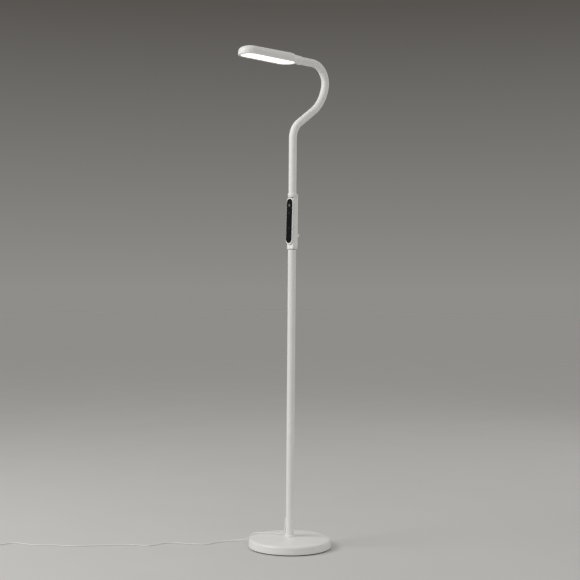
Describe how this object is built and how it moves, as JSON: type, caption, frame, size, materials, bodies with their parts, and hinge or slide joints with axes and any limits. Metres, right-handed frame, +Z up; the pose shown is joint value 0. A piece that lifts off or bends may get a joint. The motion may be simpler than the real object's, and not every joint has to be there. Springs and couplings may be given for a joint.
{
  "type": "gooseneck floor lamp",
  "caption": "Floor lamp with a round weighted base, slim pole, touch control box, flexible gooseneck and a long flat light head.",
  "frame": {"origin": "on the floor, at the centre of the round base", "axes": "+Z up along the pole; -Y towards the lamp's front, the way the light head reaches and the touch panel faces; +X is the left side of the lamp as it faces forward"},
  "size_m": [0.8831, 0.9439, 1.5513],
  "materials": {
    "painted_white": "smooth satin white powder coat",
    "white_plastic": "fine-grained satin white plastic",
    "white_silicone": "matt white silicone skin",
    "black_rubber": "matt black rubber",
    "cast_weight": "rough black-dipped casting",
    "zinc_sheet": "plain zinc-coated sheet",
    "steel": "plain steel",
    "alloy": "plain drawn alloy",
    "black_glass": "polished opaque black glass",
    "lit_diffuser": "milky light diffuser, lit",
    "green_board": "green circuit board with dark components",
    "white_board": "white circuit board",
    "white_cord": "smooth white cord skin",
    "pin_metal": "bright plated pins"
  },
  "bodies": {
    "base": {"base_cover": "painted_white", "base_weight": "cast_weight", "base_plate": "zinc_sheet", "base_screws": "steel", "foot_ring": "black_rubber", "foot_collar": "white_plastic", "base_bolt": "steel", "pole_foot_insert": "steel", "pole_lower": "painted_white", "pole_upper": "painted_white", "pole_connector": "steel", "pole_spigot": "alloy", "cord_relief": "white_silicone", "inner_lead": "white_cord", "cord_tube": "white_cord", "cord_coil": "white_cord", "adapter_body": "white_plastic", "adapter_pins": "pin_metal", "adapter_relief": "white_silicone"},
    "control_box": {"box_front": "white_plastic", "box_rear": "white_plastic", "touch_glass": "black_glass", "control_board": "green_board", "box_screws": "steel", "neck_collar": "white_plastic", "lever_pin": "steel", "lever_spring": "steel", "neck_core_00": "alloy", "neck_sleeve_00": "white_silicone"},
    "release_lever": {"release_lever": "white_plastic"},
    "neck_link_01": {"neck_core_01": "alloy", "neck_sleeve_01": "white_silicone"},
    "neck_link_02": {"neck_core_02": "alloy", "neck_sleeve_02": "white_silicone"},
    "neck_link_03": {"neck_core_03": "alloy", "neck_sleeve_03": "white_silicone"},
    "neck_link_04": {"neck_core_04": "alloy", "neck_sleeve_04": "white_silicone"},
    "neck_link_05": {"neck_core_05": "alloy", "neck_sleeve_05": "white_silicone"},
    "neck_link_06": {"neck_core_06": "alloy", "neck_sleeve_06": "white_silicone"},
    "neck_link_07": {"neck_core_07": "alloy", "neck_sleeve_07": "white_silicone"},
    "neck_link_08": {"neck_core_08": "alloy", "neck_sleeve_08": "white_silicone"},
    "neck_link_09": {"neck_core_09": "alloy", "neck_sleeve_09": "white_silicone"},
    "neck_link_10": {"neck_core_10": "alloy", "neck_sleeve_10": "white_silicone"},
    "neck_link_11": {"neck_core_11": "alloy", "neck_sleeve_11": "white_silicone"},
    "head": {"neck_core_12": "alloy", "neck_sleeve_12": "white_silicone", "head_cover": "white_plastic", "head_frame": "white_plastic", "diffuser": "lit_diffuser", "led_board": "white_board", "heat_plate": "alloy", "head_screws": "steel"}
  },
  "joints": [
    {"name": "upper_lift", "type": "slide", "parent": "base", "child": "control_box", "axis": [0, 0, 1], "range_m": [0, 0.05]},
    {"name": "lever_press", "type": "hinge", "parent": "control_box", "child": "release_lever", "pos_m": [0, 0.0134, 0.9712], "axis": [1, 0, 0], "range_deg": [0, 4], "stiffness_Nm_per_rad": 0.2, "springref_deg": -2.86, "deforming": ["lever_spring"]},
    {"name": "neck_01_fold", "type": "hinge", "parent": "control_box", "child": "neck_link_01", "pos_m": [0, 0, 1.148], "axis": [1, 0, 0], "range_deg": [-22, 14]},
    {"name": "neck_02_side", "type": "hinge", "parent": "neck_link_01", "child": "neck_link_02", "pos_m": [0, 0, 1.225], "axis": [0, 1, 0], "range_deg": [-30, 30]},
    {"name": "neck_03_fold", "type": "hinge", "parent": "neck_link_02", "child": "neck_link_03", "pos_m": [0, 0, 1.30116], "axis": [1, 0, 0], "range_deg": [-14.5, 29.5]},
    {"name": "neck_04_fold", "type": "hinge", "parent": "neck_link_03", "child": "neck_link_04", "pos_m": [0, 0.01446, 1.32894], "axis": [1, 0, 0], "range_deg": [-14.5, 29.5]},
    {"name": "neck_05_side", "type": "hinge", "parent": "neck_link_04", "child": "neck_link_05", "pos_m": [0, 0.06283, 1.36281], "axis": [0, 0.5736, -0.8192], "range_deg": [-30, 30]},
    {"name": "neck_06_fold", "type": "hinge", "parent": "neck_link_05", "child": "neck_link_06", "pos_m": [0, 0.11121, 1.39668], "axis": [1, 0, 0], "range_deg": [-31.5, 2.5]},
    {"name": "neck_07_fold", "type": "hinge", "parent": "neck_link_06", "child": "neck_link_07", "pos_m": [0, 0.13929, 1.43911], "axis": [1, 0, 0], "range_deg": [-31.5, 2.5]},
    {"name": "neck_08_fold", "type": "hinge", "parent": "neck_link_07", "child": "neck_link_08", "pos_m": [0, 0.14833, 1.48164], "axis": [1, 0, 0], "range_deg": [-44, 6]},
    {"name": "neck_09_fold", "type": "hinge", "parent": "neck_link_08", "child": "neck_link_09", "pos_m": [0, 0.13481, 1.51509], "axis": [1, 0, 0], "range_deg": [-44, 6]},
    {"name": "neck_10_fold", "type": "hinge", "parent": "neck_link_09", "child": "neck_link_10", "pos_m": [0, 0.10491, 1.53526], "axis": [1, 0, 0], "range_deg": [-44, 6]},
    {"name": "neck_11_side", "type": "hinge", "parent": "neck_link_10", "child": "neck_link_11", "pos_m": [0, 0.07891, 1.53526], "axis": [0, 0, 1], "range_deg": [-30, 30]},
    {"name": "head_tilt", "type": "hinge", "parent": "neck_link_11", "child": "head", "pos_m": [0, 0.05091, 1.53526], "axis": [1, 0, 0], "range_deg": [-25, 20]}
  ]
}
